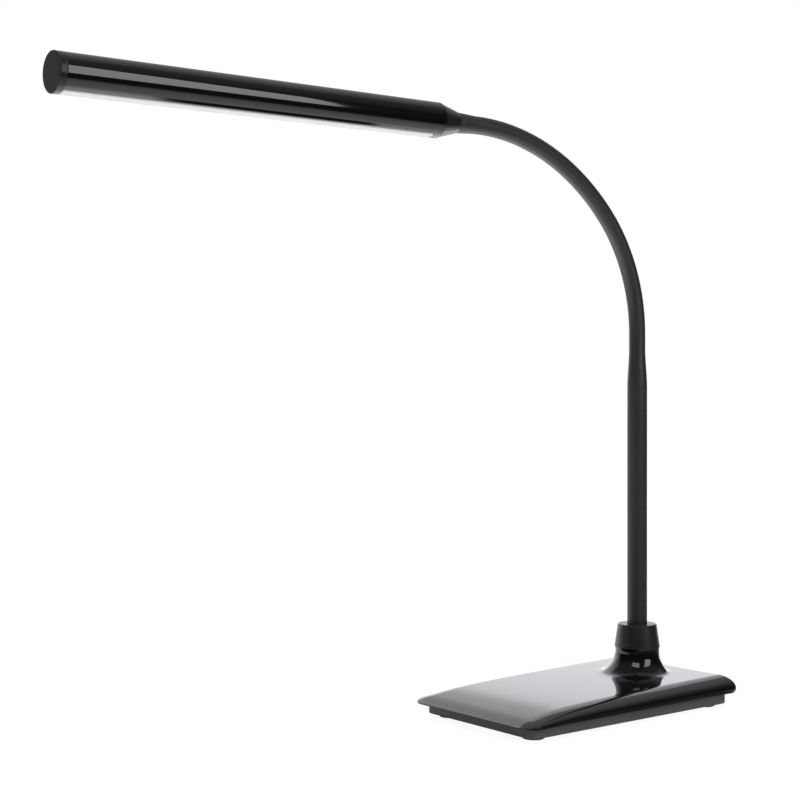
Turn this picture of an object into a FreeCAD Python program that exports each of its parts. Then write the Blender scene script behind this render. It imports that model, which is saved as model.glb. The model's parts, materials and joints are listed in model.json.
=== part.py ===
import FreeCAD, Part
import math
import os

# A gooseneck desk lamp with a weighted base, a bendable neck and a tubular light head.
# Sizes are in millimetres and angles in degrees. The origin is where the neck's axis meets
# the desk. +Z is up and +X runs along the base towards the front, where the head reaches.

# Feet
FOOT_RADIUS = 7.5
FOOT_HEIGHT = 2.0
FOOT_RECESS = 0.8
FOOT_EDGE = 0.6
FOOT_INSET = 12.0

# Base tray
TRAY_LENGTH = 195.0
TRAY_WIDTH = 110.0
TRAY_HEIGHT = 8.4
TRAY_WALL = 2.2
TRAY_CORNER = 5.0
TRAY_EDGE = 1.2
NECK_SETBACK = 37.0
RIM_HEIGHT = 1.5

# Base cover, whose top rises from a thin front lip to a rolled rear end
COVER_OVERHANG = 6.5
COVER_END_OVERHANG = 9.0
COVER_WALL = 2.2
COVER_LIP = 1.0
COVER_NOSE_HEIGHT = 3.9
COVER_NOSE_SETBACK = 9.9
COVER_SHOULDER_HEIGHT = 7.8
COVER_SHOULDER_SETBACK = 40.5
COVER_MIDDLE_HEIGHT = 10.2
COVER_MIDDLE_SETBACK = 102.5
COVER_REAR_HEIGHT = 12.3
COVER_NOSE_SLOPE = 0.36
COVER_ROLL = 7.5

# Flared foot of the neck, moulded with the cover
FLARE_TOP = 40.4
FLARE_TOP_RADIUS = 16.4
FLARE_WAIST = 27.0
FLARE_WAIST_RADIUS = 20.0
FLARE_FOOT_RADIUS = 26.0
FLARE_WALL = 2.4
FLARE_SINK = 0.4
FLARE_ROOT = 1.0

# Collar ring on the flare
COLLAR_HEIGHT = 17.0
COLLAR_TOP_RADIUS = 14.4
COLLAR_STEP = 0.3
COLLAR_SPIGOT = 3.0
COLLAR_EDGE = 0.6

# Drive recess and crown of every screw's head, as shares of the head
DRIVE_WIDTH = 0.6
DRIVE_REACH_SHARE = 0.6
DRIVE_DEPTH_SHARE = 0.5
CROWN_SHARE = 0.4

# Screws that hold the cover to the tray
BASE_SCREW_RADIUS = 1.5
BASE_SCREW_HEAD = 3.0
BASE_SCREW_HEAD_HEIGHT = 1.6
BASE_SCREW_LENGTH = 9.0
BASE_SCREW_SEAT = 0.4
PILLAR_RADIUS = 4.2
PILLAR_HEIGHT = 4.6
COVER_BOSS_RADIUS = 3.6

# Ballast plate
BALLAST_LENGTH = 130.0
BALLAST_WIDTH = 88.0
BALLAST_THICKNESS = 6.5
BALLAST_CORNER = 6.0
BALLAST_BACK = 18.0
BALLAST_LIFT = 2.5
BALLAST_HOLE = 5.0
BALLAST_SCREW_INSET = 9.0
BALLAST_SCREW_RADIUS = 2.0
BALLAST_SCREW_HEAD = 3.8
BALLAST_SCREW_HEAD_HEIGHT = 2.2
BALLAST_BOSS_RADIUS = 4.5
BALLAST_BOARD_GAP = 2.0

# Steel tube and its flange
TUBE_RADIUS = 5.6
TUBE_BORE = 4.45
TUBE_TOP = 250.0
FLANGE_RADIUS = 18.0
FLANGE_THICKNESS = 3.0
HUB_RADIUS = 9.0
HUB_HEIGHT = 10.0
FLANGE_SCREWS = 3
FLANGE_SCREW_CIRCLE = 13.4
FLANGE_SCREW_RADIUS = 1.5
FLANGE_SCREW_HEAD = 2.7
FLANGE_SCREW_HEAD_HEIGHT = 1.8
FLANGE_SCREW_DEPTH = 5.0
FLANGE_SCREW_START = 60.0

# Neck: a stout lower sleeve, then the flexible part in links that hinge at ball seats
LOWER_SLEEVE_RADIUS = 7.35
TAPER_START = 233.0
TAPER_END = 262.0
SLEEVE_RADIUS = 6.0
CONDUIT_RADIUS = 4.4
CONDUIT_BORE = 2.6
CONDUIT_TAIL = 14.0
WIRE_RADIUS = 1.1
WIRE_SPACING = 2.4
BEND_START = 273.2
LOWER_BEND_RADIUS = 124.7
LOWER_BEND_TURN = 43.5
LOWER_BEND_LINKS = 3
UPPER_BEND_RADIUS = 166.4
UPPER_BEND_LINKS = 5
HEAD_DROOP = 1.06
BALL_RADIUS = 7.0
BALL_GAP = 0.4

# Neck end at the head
NECK_END = 20.0
SLEEVE_END_RADIUS = 6.9
FERRULE_RADIUS = 5.3
FERRULE_TAIL = 12.0
FERRULE_NOSE = 10.0
CONDUIT_RECESS = 1.0
NUT_FLATS = 11.0
NUT_HEIGHT = 4.0

# Head tube
HEAD_RADIUS = 12.0
HEAD_WALL = 1.5
CONE_LENGTH = 16.2
CONE_SMALL_RADIUS = 7.6
CONE_END_WALL = 4.0
CONE_BORE = 6.6
CONE_EDGE = 0.4
SPIGOT_LENGTH = 5.0
HOUSING_LENGTH = 270.3
END_CAP_LENGTH = 4.0
END_CAP_EDGE = 0.5
SLOT_SETBACK = 6.0
SLOT_HALF_ANGLE = 29.5
DIFFUSER_LINER = 1.0
DIFFUSER_LINER_ANGLE = 8.0
PLUG_CLEARANCE_ANGLE = 3.0

# Light engine in the head
BAR_THICKNESS = 2.5
BAR_BOTTOM = -4.0
BAR_END_CLEARANCE = 3.0
LED_BOARD_WIDTH = 12.0
LED_BOARD_THICKNESS = 1.0
LED_BOARD_SETBACK = 3.0
LED_COUNT = 36
LED_LENGTH = 3.5
LED_WIDTH = 2.8
LED_HEIGHT = 0.7
LED_END_SETBACK = 8.0
HEAD_SCREW_RADIUS = 1.0
HEAD_SCREW_HEAD = 1.7
HEAD_SCREW_HEAD_HEIGHT = 1.1
HEAD_SCREW_SETBACK = 3.0
HEAD_SCREW_SPACING = 8.2
CONNECTOR_SETBACK = 20.0
CONNECTOR_SIZE = (8.0, 7.0, 4.0)

# Control board, touch post and supply jack in the base
BOARD_LENGTH = 30.0
BOARD_WIDTH = 34.0
BOARD_THICKNESS = 1.6
BOARD_HEIGHT = 3.8
BOARD_FRONT_GAP = 14.0
BOARD_BOSS_RADIUS = 2.6
BOARD_BOSS_INSET = 3.4
BOARD_SCREW_RADIUS = 1.0
BOARD_SCREW_HEAD = 1.9
BOARD_SCREW_HEAD_HEIGHT = 1.2
BOARD_SCREW_FLOOR = 0.6
CHIP_SIZE = (5.0, 4.0, 1.5)
COIL_RADIUS = 3.0
COIL_HEIGHT = 2.8
COIL_SETBACK = 9.0
CAPACITOR_RADIUS = 2.0
CAPACITOR_HEIGHT = 2.6
CAPACITOR_FORWARD = 2.0
CAPACITOR_ASIDE = 2.0
TOUCH_POST_RADIUS = 4.0
JACK_WIDTH = 9.0
JACK_LENGTH = 15.0
JACK_HEIGHT = 7.0
JACK_AXIS_HEIGHT = 5.6
JACK_BORE = 2.8
JACK_BORE_DEPTH = 10.0
JACK_HOLE_DEPTH = 3.2
JACK_PIN_RADIUS = 1.0
JACK_PIN_SETBACK = 1.0
JACK_NOSE_RADIUS = 3.9
LEAD_RADIUS = 0.9
LEAD_SPACING = 7.4
LEAD_LIFT = 1.2
LEAD_BEND = 2.4
LEAD_SETBACK = 12.0
WIRE_SETBACK = 8.0

# Clearances
FIT = 0.1
SHAFT_FIT = 0.05
SEAT_GAP = 0.2

# Levels and edges that follow from the sizes
tray_rear = -NECK_SETBACK
tray_front = tray_rear + TRAY_LENGTH
tray_bottom = FOOT_HEIGHT
tray_floor = tray_bottom + TRAY_WALL
cover_bottom = tray_bottom + TRAY_HEIGHT
cover_rear = tray_rear - COVER_END_OVERHANG
cover_front = tray_front + COVER_END_OVERHANG
cover_half_width = TRAY_WIDTH / 2 + COVER_OVERHANG
cover_corner = TRAY_CORNER + COVER_OVERHANG
rear_top = cover_bottom + COVER_REAR_HEIGHT
ballast_bottom = tray_floor + BALLAST_LIFT
ballast_top = ballast_bottom + BALLAST_THICKNESS
flange_top = ballast_top + FLANGE_THICKNESS
hub_top = flange_top + HUB_HEIGHT
collar_top = FLARE_TOP + COLLAR_HEIGHT
sleeve_bore = CONDUIT_RADIUS + FIT
pillar_top = tray_floor + PILLAR_HEIGHT
board_bottom = tray_floor + BOARD_HEIGHT
board_top = board_bottom + BOARD_THICKNESS
board_front = tray_front - BOARD_FRONT_GAP
board_rear = board_front - BOARD_LENGTH
jack_axis = cover_bottom + JACK_AXIS_HEIGHT
jack_bottom = jack_axis - JACK_HEIGHT / 2
jack_inner = cover_rear + JACK_LENGTH
wire_level = tray_floor + LEAD_LIFT
head_bore = HEAD_RADIUS - HEAD_WALL
spigot_radius = head_bore - FIT
housing_end = CONE_LENGTH + HOUSING_LENGTH
slot_start = CONE_LENGTH + SLOT_SETBACK
bar_top = BAR_BOTTOM + BAR_THICKNESS
bar_half_width = math.sqrt((head_bore - SEAT_GAP) ** 2 - BAR_BOTTOM ** 2)
bar_start = CONE_LENGTH + SPIGOT_LENGTH - BAR_END_CLEARANCE
bar_end = housing_end - SPIGOT_LENGTH + BAR_END_CLEARANCE
board_start = CONE_LENGTH + SPIGOT_LENGTH + LED_BOARD_SETBACK
board_end = housing_end - SPIGOT_LENGTH - LED_BOARD_SETBACK
led_board_bottom = BAR_BOTTOM - LED_BOARD_THICKNESS


def vec(x, y, z):
    return FreeCAD.Vector(x, y, z)


UP = vec(0, 0, 1)
FORWARD = vec(1, 0, 0)
ACROSS = vec(0, 1, 0)


def save(node, *shapes):
    """Writes one node's separate solids to its own file."""
    solids = [solid for shape in shapes for solid in shape.Solids]
    whole = solids[0] if len(solids) == 1 else Part.makeCompound(solids)
    whole.exportStep("parts/" + node + ".step")


def post(radius, bottom, top, x=0.0, y=0.0):
    """An upright cylinder."""
    return Part.makeCylinder(radius, top - bottom, vec(x, y, bottom), UP)


def rod(radius, start, end, y=0.0, z=0.0):
    """A cylinder along the X direction."""
    return Part.makeCylinder(radius, end - start, vec(start, y, z), FORWARD)


def block(x0, x1, y0, y1, z0, z1):
    return Part.makeBox(x1 - x0, y1 - y0, z1 - z0, vec(x0, y0, z0))


def slab(x0, x1, half_width, corner, bottom, top):
    """A plate with upright rounded corners, centred across the base."""
    plate = block(x0, x1, -half_width, half_width, bottom, top)
    upright = [e for e in plate.Edges if abs(e.tangentAt(e.FirstParameter).z) > 0.9]
    return plate.makeFillet(corner, upright)


def turned(outline):
    """A solid turned about Z from a closed list of (radius, height) points or from edges."""
    if isinstance(outline[0], tuple):
        points = [vec(r, 0, z) for r, z in outline]
        wire = Part.makePolygon(points + [points[0]])
    else:
        wire = Part.Wire(outline)
    return Part.Face(wire).revolve(vec(0, 0, 0), UP, 360)


def line(a, b):
    return Part.LineSegment(a, b).toShape()


def screw(radius, length, head_radius, head_height):
    """A pan-head screw that points down, with its head's underside at the origin."""
    shank = post(radius, -length, 0)
    head = post(head_radius, 0, head_height)
    crown = [e for e in head.Edges if e.BoundBox.ZMin > head_height - FIT]
    head = head.makeFillet(head_height * CROWN_SHARE, crown)
    reach = head_radius * DRIVE_REACH_SHARE
    half = DRIVE_WIDTH / 2
    floor = head_height * (1 - DRIVE_DEPTH_SHARE)
    drive = block(-reach, reach, -half, half, floor, head_height)
    cross = drive.copy()
    cross.rotate(vec(0, 0, 0), UP, 90)
    return shank.fuse(head).cut(drive).cut(cross).removeSplitter()


def moved(shape, x, y, z):
    copy = shape.copy()
    copy.translate(vec(x, y, z))
    return copy


def route(points, bend):
    """A wire of straight runs joined by tangent arcs of one radius, in the XZ plane at one Y."""
    edges = []
    start = points[0]
    for before, corner, after in zip(points, points[1:], points[2:]):
        arrive = (corner - before).normalize()
        leave = (after - corner).normalize()
        half_turn = arrive.getAngle(leave) / 2
        cut = bend * math.tan(half_turn)
        a = corner - arrive * cut
        b = corner + leave * cut
        inward = (leave - arrive).normalize()
        middle = corner + inward * (bend / math.cos(half_turn) - bend)
        edges.append(line(start, a))
        edges.append(Part.Arc(a, middle, b).toShape())
        start = b
    edges.append(line(start, points[-1]))
    return Part.Wire(edges)


def cable(points, radius, bend):
    """A round wire that follows a route."""
    path = route(points, bend)
    direction = points[1] - points[0]
    section = Part.Wire(Part.makeCircle(radius, points[0], direction))
    return path.makePipeShell([section], True, True)


# Base cover


def cover_profile(drop):
    """The space under the cover's top line, lowered by a wall. It spans more than the width."""
    reach = cover_half_width + COVER_OVERHANG
    stations = [
        (0, COVER_LIP),
        (COVER_NOSE_SETBACK, COVER_NOSE_HEIGHT),
        (COVER_SHOULDER_SETBACK, COVER_SHOULDER_HEIGHT),
        (COVER_MIDDLE_SETBACK, COVER_MIDDLE_HEIGHT),
    ]
    level = cover_bottom - drop
    points = [vec(cover_front - setback, -reach, level + h) for setback, h in stations]
    rear = vec(cover_rear, -reach, level + COVER_REAR_HEIGHT)
    nose_slope = vec(-1, 0, COVER_NOSE_SLOPE)
    curve = Part.BSplineCurve()
    curve.interpolate(Points=points, InitialTangent=nose_slope, FinalTangent=rear - points[-1])
    low = level - rear_top
    rear_low = vec(cover_rear, -reach, low)
    front_low = vec(cover_front, -reach, low)
    edges = [
        curve.toShape(),
        line(points[-1], rear),
        line(rear, rear_low),
        line(rear_low, front_low),
        line(front_low, points[0]),
    ]
    return Part.Face(Part.Wire(edges)).extrude(vec(0, 2 * reach, 0))


def cover_block(inset, drop):
    """The cover's outer form, or with an inset and a drop the room inside it."""
    top = rear_top + FIT - drop
    body = slab(
        cover_rear + inset,
        cover_front - inset,
        cover_half_width - inset,
        cover_corner - inset,
        cover_bottom,
        top,
    )
    crown = [e for e in body.Edges if e.BoundBox.ZMin > top - FIT]
    return body.makeFillet(COVER_ROLL - inset, crown).common(cover_profile(drop))


def cover_room(clearance):
    """The room under the cover, less a clearance at its sides and top."""
    gap = COVER_WALL + clearance
    return cover_block(gap, gap)


def flare_edges(inset, foot):
    """The flare's hollow curve as one arc, from its foot to its top, set in by a wall."""
    low = vec(FLARE_FOOT_RADIUS - inset, 0, foot)
    waist = vec(FLARE_WAIST_RADIUS - inset, 0, FLARE_WAIST)
    high = vec(FLARE_TOP_RADIUS - inset, 0, FLARE_TOP)
    return low, high, Part.Arc(low, waist, high).toShape()


def flare(inset, foot, bottom):
    """The flare as a turned solid from a level inside the cover up to its top."""
    low, high, curve = flare_edges(inset, foot)
    under = vec(low.x, 0, bottom)
    floor = vec(0, 0, bottom)
    peak = vec(0, 0, FLARE_TOP)
    edges = [line(floor, under), line(under, low), curve, line(high, peak), line(peak, floor)]
    return turned(edges)


def corner_places():
    """Where the four feet stand, each of which covers a screw."""
    side = TRAY_WIDTH / 2 - FOOT_INSET
    for x in (tray_rear + FOOT_INSET, tray_front - FOOT_INSET):
        for y in (-side, side):
            yield x, y


def base_cover():
    """Glossy top shell with its flare, screw bosses and the hole for the supply jack."""
    inside_top = rear_top - COVER_WALL
    shell = cover_block(0, 0).cut(cover_room(0))
    flare_foot = rear_top - FLARE_SINK
    shell = shell.fuse(flare(0, flare_foot, inside_top - FLARE_ROOT))
    shell = shell.cut(flare(FLARE_WALL, flare_foot, cover_bottom))
    for x, y in corner_places():
        boss = post(COVER_BOSS_RADIUS, pillar_top + FIT, rear_top, x, y)
        shell = shell.fuse(boss.common(cover_room(-COVER_WALL / 2)))
        pilot = BASE_SCREW_RADIUS + SHAFT_FIT
        shell = shell.cut(post(pilot, pillar_top, screw_tip() + FIT, x, y))
    nose = JACK_NOSE_RADIUS + FIT
    shell = shell.cut(rod(nose, cover_rear - FIT, cover_rear + JACK_HOLE_DEPTH, 0, jack_axis))
    return shell.removeSplitter()


# Base tray


def ballast_screw_places():
    """Where the four ballast screws stand."""
    side = BALLAST_WIDTH / 2 - BALLAST_SCREW_INSET
    rear = -BALLAST_BACK + BALLAST_SCREW_INSET
    front = -BALLAST_BACK + BALLAST_LENGTH - BALLAST_SCREW_INSET
    for x in (rear, front):
        for y in (-side, side):
            yield x, y


def board_screw_places():
    """Where the control board's four screws stand."""
    side = BOARD_WIDTH / 2 - BOARD_BOSS_INSET
    for x in (board_rear + BOARD_BOSS_INSET, board_front - BOARD_BOSS_INSET):
        for y in (-side, side):
            yield x, y


def screw_seat():
    """The level of the countersunk seat under each base screw's head."""
    return tray_floor + BASE_SCREW_SEAT


def screw_tip():
    return screw_seat() + BASE_SCREW_LENGTH


def base_tray():
    """Bottom shell with a rim inside the cover, pillars, bosses and foot recesses."""
    tray = slab(tray_rear, tray_front, TRAY_WIDTH / 2, TRAY_CORNER, tray_bottom, cover_bottom)
    low_edges = [e for e in tray.Edges if e.BoundBox.ZMax < tray_bottom + FIT]
    tray = tray.makeFillet(TRAY_EDGE, low_edges)
    half = cover_half_width
    rim_top = cover_bottom + RIM_HEIGHT
    rim_zone = block(cover_rear, cover_front, -half, half, cover_bottom, rim_top)
    tray = tray.fuse(cover_room(FIT).common(rim_zone))
    hollow = slab(
        tray_rear + TRAY_WALL,
        tray_front - TRAY_WALL,
        TRAY_WIDTH / 2 - TRAY_WALL,
        TRAY_CORNER - TRAY_WALL,
        tray_floor,
        rear_top,
    )
    tray = tray.cut(hollow)
    for x, y in corner_places():
        tray = tray.fuse(post(PILLAR_RADIUS, tray_floor, pillar_top, x, y))
        tray = tray.cut(post(BASE_SCREW_RADIUS + FIT, tray_bottom, pillar_top, x, y))
        tray = tray.cut(post(BASE_SCREW_HEAD + SEAT_GAP, tray_bottom, screw_seat(), x, y))
    for x, y in ballast_screw_places():
        tray = tray.fuse(post(BALLAST_BOSS_RADIUS, tray_floor, ballast_bottom, x, y))
        tip = BALLAST_SCREW_RADIUS + SHAFT_FIT
        tray = tray.cut(post(tip, ballast_screw_tip() - FIT, ballast_bottom, x, y))
    for x, y in board_screw_places():
        tray = tray.fuse(post(BOARD_BOSS_RADIUS, tray_floor, board_bottom, x, y))
        tip = BOARD_SCREW_RADIUS + SHAFT_FIT
        tray = tray.cut(post(tip, board_screw_tip() - FIT, board_bottom, x, y))
    for x, y in corner_places():
        tray = tray.cut(post(FOOT_RADIUS + FIT, tray_bottom, tray_bottom + FOOT_RECESS, x, y))
    half = JACK_WIDTH / 2
    shelf_rear = tray_rear + TRAY_WALL / 2
    shelf = block(shelf_rear, jack_inner, -half, half, tray_floor, jack_bottom)
    return tray.fuse(shelf).removeSplitter()


def rubber_feet():
    """Four round feet with softened edges, each pressed in its recess."""
    feet = []
    for x, y in corner_places():
        foot = post(FOOT_RADIUS, 0, tray_bottom + FOOT_RECESS, x, y)
        low = [e for e in foot.Edges if e.BoundBox.ZMax < FIT]
        feet.append(foot.makeFillet(FOOT_EDGE, low))
    return feet


def base_screws():
    """Four screws that go up through the tray's pillars into the cover's bosses."""
    one = screw(BASE_SCREW_RADIUS, BASE_SCREW_LENGTH, BASE_SCREW_HEAD, BASE_SCREW_HEAD_HEIGHT)
    one.rotate(vec(0, 0, 0), FORWARD, 180)
    return [moved(one, x, y, screw_seat()) for x, y in corner_places()]


# Ballast and its fasteners


def ballast_screw_tip():
    return tray_floor


def board_screw_tip():
    return tray_floor + BOARD_SCREW_FLOOR


def flange_screw_places():
    for k in range(FLANGE_SCREWS):
        angle = math.radians(FLANGE_SCREW_START + 360 * k / FLANGE_SCREWS)
        yield FLANGE_SCREW_CIRCLE * math.cos(angle), FLANGE_SCREW_CIRCLE * math.sin(angle)


def board_room():
    """The space that a long ballast plate leaves free round the control board."""
    half = BOARD_WIDTH / 2 + BALLAST_BOARD_GAP
    start = board_rear - BALLAST_BOARD_GAP
    end = board_front + BALLAST_BOARD_GAP
    return block(start, end, -half, half, ballast_bottom, rear_top)


def ballast_plate():
    """Cast iron weight on the tray's bosses, drilled for its screws, the flange and the wires."""
    front = -BALLAST_BACK + BALLAST_LENGTH
    plate = slab(
        -BALLAST_BACK, front, BALLAST_WIDTH / 2, BALLAST_CORNER, ballast_bottom, ballast_top
    )
    plate = plate.cut(board_room()).removeSplitter()
    plate = plate.cut(post(BALLAST_HOLE, ballast_bottom, ballast_top))
    for x, y in ballast_screw_places():
        plate = plate.cut(post(BALLAST_SCREW_RADIUS + FIT, ballast_bottom, ballast_top, x, y))
    for x, y in flange_screw_places():
        tapped = FLANGE_SCREW_RADIUS + SHAFT_FIT
        floor = ballast_top - FLANGE_SCREW_DEPTH - FIT
        plate = plate.cut(post(tapped, floor, ballast_top, x, y))
    return plate


def ballast_screws():
    length = ballast_top - ballast_screw_tip()
    one = screw(BALLAST_SCREW_RADIUS, length, BALLAST_SCREW_HEAD, BALLAST_SCREW_HEAD_HEIGHT)
    return [moved(one, x, y, ballast_top) for x, y in ballast_screw_places()]


def neck_flange():
    """Steel foot of the tube: a disc on the ballast with a hub that grips the tube."""
    foot = post(FLANGE_RADIUS, ballast_top, flange_top)
    foot = foot.fuse(post(HUB_RADIUS, flange_top, hub_top))
    foot = foot.cut(post(TUBE_RADIUS + SHAFT_FIT, ballast_top, hub_top))
    for x, y in flange_screw_places():
        foot = foot.cut(post(FLANGE_SCREW_RADIUS + FIT, ballast_top, flange_top, x, y))
    return foot.removeSplitter()


def flange_screws():
    length = FLANGE_THICKNESS + FLANGE_SCREW_DEPTH
    one = screw(FLANGE_SCREW_RADIUS, length, FLANGE_SCREW_HEAD, FLANGE_SCREW_HEAD_HEIGHT)
    return [moved(one, x, y, flange_top) for x, y in flange_screw_places()]


# Collar and the neck's rigid lower part


def neck_collar():
    """Matt ring that closes the flare round the neck, a little prouder than the flare."""
    base_radius = FLARE_TOP_RADIUS + COLLAR_STEP
    spigot = FLARE_TOP_RADIUS - FLARE_WALL - SEAT_GAP
    bore = LOWER_SLEEVE_RADIUS + FIT
    low = FLARE_TOP - COLLAR_SPIGOT
    outline = [
        (bore, low),
        (spigot, low),
        (spigot, FLARE_TOP),
        (base_radius, FLARE_TOP),
        (base_radius, FLARE_TOP + COLLAR_EDGE),
        (COLLAR_TOP_RADIUS, collar_top - COLLAR_EDGE),
        (COLLAR_TOP_RADIUS - COLLAR_EDGE, collar_top),
        (bore, collar_top),
    ]
    return turned(outline)


def neck_tube():
    tube = post(TUBE_RADIUS, ballast_top + SEAT_GAP, TUBE_TOP)
    return tube.cut(post(TUBE_BORE, ballast_top, TUBE_TOP))


def lower_sleeve():
    """Stout sleeve over the tube that tapers to the flexible sleeve's size."""
    top = BEND_START + BALL_RADIUS
    tube_room = TUBE_RADIUS + FIT
    outline = [
        (tube_room, hub_top + SEAT_GAP),
        (LOWER_SLEEVE_RADIUS, hub_top + SEAT_GAP),
        (LOWER_SLEEVE_RADIUS, TAPER_START),
        (SLEEVE_RADIUS, TAPER_END),
        (SLEEVE_RADIUS, top),
        (sleeve_bore, top),
        (sleeve_bore, TUBE_TOP + SEAT_GAP),
        (tube_room, TUBE_TOP + SEAT_GAP),
    ]
    return turned(outline).cut(end_tool(0))


def lower_conduit():
    """Rigid end of the gooseneck, crimped inside the tube."""
    bottom = TUBE_TOP - CONDUIT_TAIL
    top = BEND_START + BALL_RADIUS
    conduit = post(CONDUIT_RADIUS, bottom, top).cut(post(CONDUIT_BORE, bottom, top))
    return conduit.cut(end_tool(0))


def lower_wires():
    """Two wires that run from the control board under the ballast and up the tube."""
    wires = []
    for y in (-WIRE_SPACING / 2, WIRE_SPACING / 2):
        points = [
            vec(board_rear + WIRE_SETBACK, y, board_bottom),
            vec(board_rear + WIRE_SETBACK, y, wire_level),
            vec(0, y, wire_level),
            vec(0, y, BEND_START + BALL_RADIUS),
        ]
        wires.append(cable(points, WIRE_RADIUS, LEAD_BEND).cut(end_tool(0)))
    return wires


# Flexible neck


def chain():
    """Each ball seat's centre and the neck's heading there, in degrees from upright."""
    seats = [(vec(0, 0, BEND_START), 0.0)]
    upper_turn = 90 + HEAD_DROOP - LOWER_BEND_TURN
    bends = (
        (LOWER_BEND_RADIUS, LOWER_BEND_TURN, LOWER_BEND_LINKS),
        (UPPER_BEND_RADIUS, upper_turn, UPPER_BEND_LINKS),
    )
    for radius, turn, links in bends:
        for _ in range(links):
            place, heading = seats[-1]
            centre = bend_centre(place, heading, radius)
            heading += turn / links
            seats.append((centre - side_of(heading) * radius, heading))
    return seats


def side_of(heading):
    """Unit vector from the neck towards the inside of its bend."""
    angle = math.radians(heading)
    return vec(math.cos(angle), 0, -math.sin(angle))


def ahead_of(heading):
    """Unit vector along the neck."""
    angle = math.radians(heading)
    return vec(math.sin(angle), 0, math.cos(angle))


def bend_centre(place, heading, radius):
    return place + side_of(heading) * radius


def link_count():
    return LOWER_BEND_LINKS + UPPER_BEND_LINKS


def link_radius(k):
    """The bend radius of the link that follows seat k."""
    return LOWER_BEND_RADIUS if k < LOWER_BEND_LINKS else UPPER_BEND_RADIUS


def end_tool(k):
    """What is cut off past seat k so that the piece before it ends in a ball."""
    place, heading = chain()[k]
    beyond = Part.makeCylinder(3 * BALL_RADIUS, 3 * BALL_RADIUS, place, ahead_of(heading))
    return beyond.cut(Part.makeSphere(BALL_RADIUS, place, ahead_of(heading)))


def socket_tool(k):
    """What is cut out at seat k so that the piece after it clears the ball."""
    place, heading = chain()[k]
    return Part.makeSphere(BALL_RADIUS + BALL_GAP, place, ahead_of(heading))


def link_rod(k, radius, y=0.0):
    """A bent round rod over link k, long enough to hold its ball end."""
    (place, heading), (_, next_heading) = chain()[k], chain()[k + 1]
    bend = link_radius(k)
    extra = math.degrees((BALL_RADIUS + BALL_GAP) / bend)
    centre = bend_centre(place, heading, bend)
    circle = Part.makeCircle(radius, place + ACROSS * y, ahead_of(heading))
    disc = Part.Face(Part.Wire(circle))
    return disc.revolve(centre, ACROSS, next_heading - heading + extra)


def seated(k, shape):
    """A link's piece with its socket and its ball end."""
    return shape.cut(socket_tool(k)).cut(end_tool(k + 1))


def link_sleeve(k):
    return seated(k, link_rod(k, SLEEVE_RADIUS).cut(link_rod(k, sleeve_bore)))


def link_conduit(k):
    return seated(k, link_rod(k, CONDUIT_RADIUS).cut(link_rod(k, CONDUIT_BORE)))


def link_wires(k):
    half = WIRE_SPACING / 2
    return [seated(k, link_rod(k, WIRE_RADIUS, y)) for y in (-half, half)]


# Head, modelled along X from the neck's end and then tilted into place


def placed(shape):
    """Moves a head piece from its own frame to the end of the neck."""
    place, heading = chain()[-1]
    seat = place + ahead_of(heading) * NECK_END
    copy = shape.copy()
    turn = FreeCAD.Rotation(ACROSS, heading - 90)
    copy.Placement = FreeCAD.Placement(seat, turn).multiply(copy.Placement)
    return copy


def neck_end_socket():
    """The clearance round the last ball, in the head's frame."""
    return Part.makeSphere(BALL_RADIUS + BALL_GAP, vec(-NECK_END, 0, 0), FORWARD)


def head_sleeve():
    """End of the sleeve, stretched over the ferrule."""
    outline = [
        (sleeve_bore, -NECK_END),
        (SLEEVE_RADIUS, -NECK_END),
        (SLEEVE_END_RADIUS, 0),
        (FERRULE_RADIUS + FIT, 0),
        (FERRULE_RADIUS + FIT, -FERRULE_TAIL - SEAT_GAP),
        (sleeve_bore, -FERRULE_TAIL - SEAT_GAP),
    ]
    sleeve = turned(outline)
    sleeve.rotate(vec(0, 0, 0), ACROSS, 90)
    return placed(sleeve.cut(neck_end_socket()))


def head_conduit():
    start = -NECK_END
    end = FERRULE_NOSE - CONDUIT_RECESS
    conduit = rod(CONDUIT_RADIUS, start, end).cut(rod(CONDUIT_BORE, start, end))
    return placed(conduit.cut(neck_end_socket()))


def head_ferrule():
    """Threaded end fitting crimped on the gooseneck."""
    start = -FERRULE_TAIL
    bore = CONDUIT_RADIUS + SHAFT_FIT
    return placed(rod(FERRULE_RADIUS, start, FERRULE_NOSE).cut(rod(bore, start, FERRULE_NOSE)))


def head_nut():
    """Hexagon nut that pulls the ferrule to the neck cap's end wall."""
    corner = NUT_FLATS / 2 / math.cos(math.radians(30))
    points = []
    for k in range(6):
        angle = math.radians(60 * k)
        points.append(vec(CONE_END_WALL, corner * math.cos(angle), corner * math.sin(angle)))
    face = Part.Face(Part.makePolygon(points + [points[0]]))
    nut = face.extrude(FORWARD * NUT_HEIGHT)
    thread = rod(FERRULE_RADIUS + SHAFT_FIT, CONE_END_WALL, CONE_END_WALL + NUT_HEIGHT)
    return placed(nut.cut(thread))


def head_wires():
    """The two wires' ends, which lie on the heat sink and stop at the connector."""
    wires = []
    for y in (-WIRE_SPACING / 2, WIRE_SPACING / 2):
        wire = rod(WIRE_RADIUS, -NECK_END, connector_start(), y)
        wires.append(placed(wire.cut(neck_end_socket())))
    return wires


def connector_start():
    return board_start + CONNECTOR_SETBACK


def lead_connector():
    """Two-pole connector on the heat sink."""
    length, width, height = CONNECTOR_SIZE
    start = connector_start()
    body = block(start, start + length, -width / 2, width / 2, bar_top, bar_top + height)
    return placed(body)


def wedge(half_angle, start, end):
    """A wedge about the head's underside, as wide as the light opening."""
    reach = 2 * HEAD_RADIUS
    angle = math.radians(half_angle)
    points = [
        vec(start, 0, 0),
        vec(start, reach * math.sin(angle), -reach * math.cos(angle)),
        vec(start, -reach * math.sin(angle), -reach * math.cos(angle)),
    ]
    face = Part.Face(Part.makePolygon(points + [points[0]]))
    return face.extrude(FORWARD * (end - start))


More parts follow.
